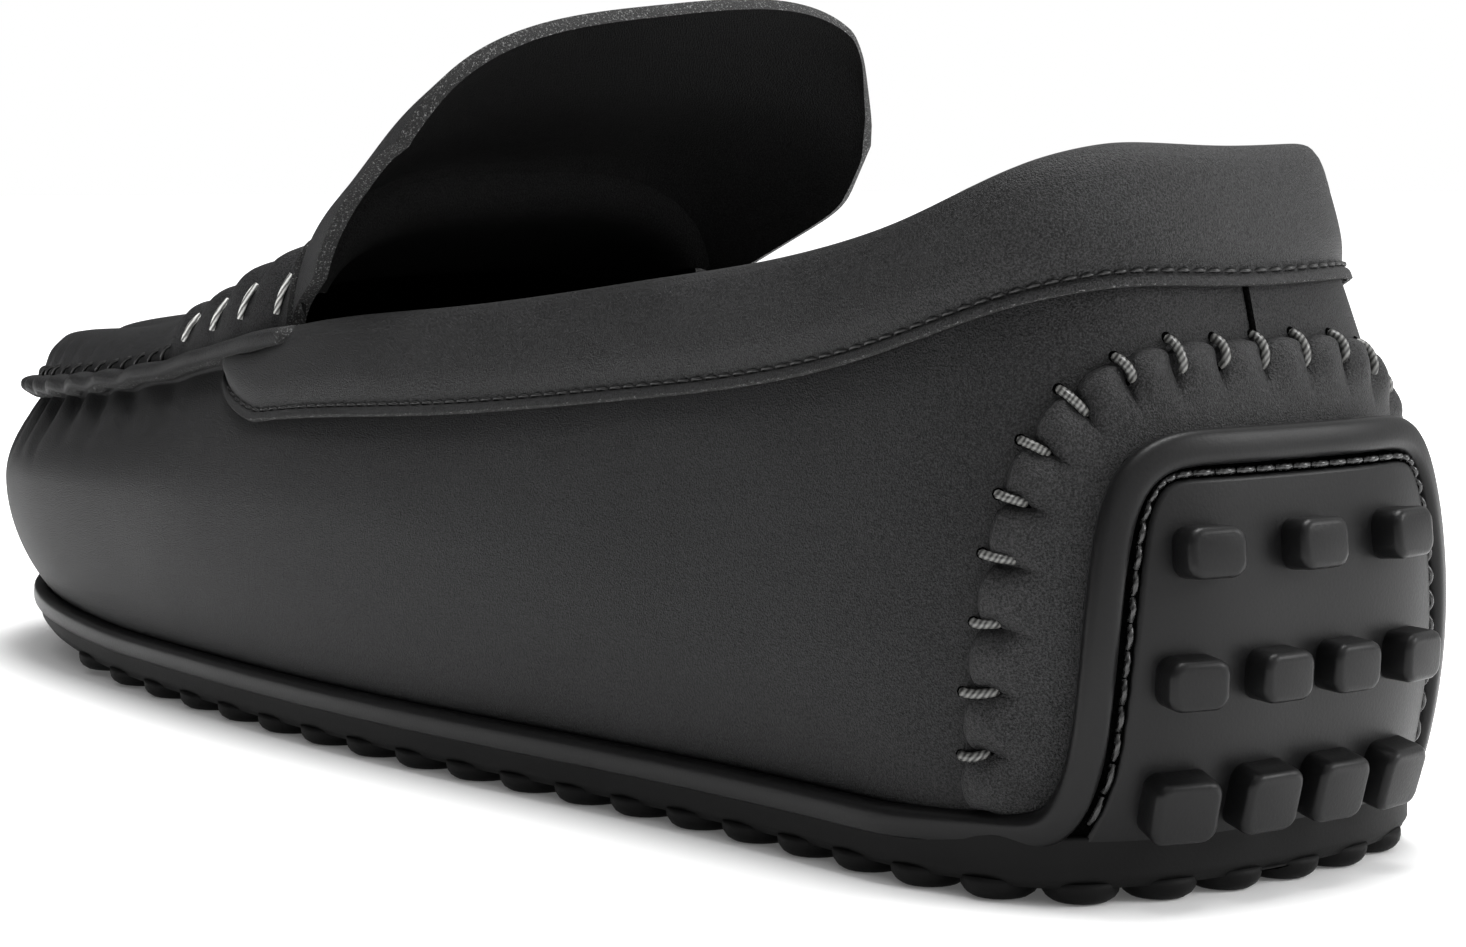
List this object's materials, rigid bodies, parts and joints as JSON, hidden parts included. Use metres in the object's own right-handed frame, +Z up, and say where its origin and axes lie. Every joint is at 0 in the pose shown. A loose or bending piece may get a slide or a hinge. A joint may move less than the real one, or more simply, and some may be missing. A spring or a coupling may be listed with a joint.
{
  "type": "driving moccasin",
  "caption": "Left driving moccasin with a hollow leather tub, raised toe seam, standing tongue, padded collar cuff and a pebbled rubber sole that runs up the heel.",
  "frame": {"origin": "middle of the shoe's box, on the floor that the nubs stand on", "axes": "+X from heel to toe, +Y to the wearer's left (the outer side), +Z up"},
  "size_m": [0.3, 0.104, 0.1086],
  "materials": {
    "outsole": "satin moulded black rubber",
    "upper": "matte black leather with a fine grain",
    "apron_tongue": "matte black leather with a raw cut edge",
    "collar_cuff": "soft black leather over padding",
    "heel_counter": "matte black leather",
    "insole": "dark lining leather"
  },
  "bodies": {
    "root": {"outsole": "outsole", "upper": "upper", "apron_tongue": "apron_tongue", "collar_cuff": "collar_cuff", "heel_counter": "heel_counter", "insole": "insole"}
  },
  "joints": []
}
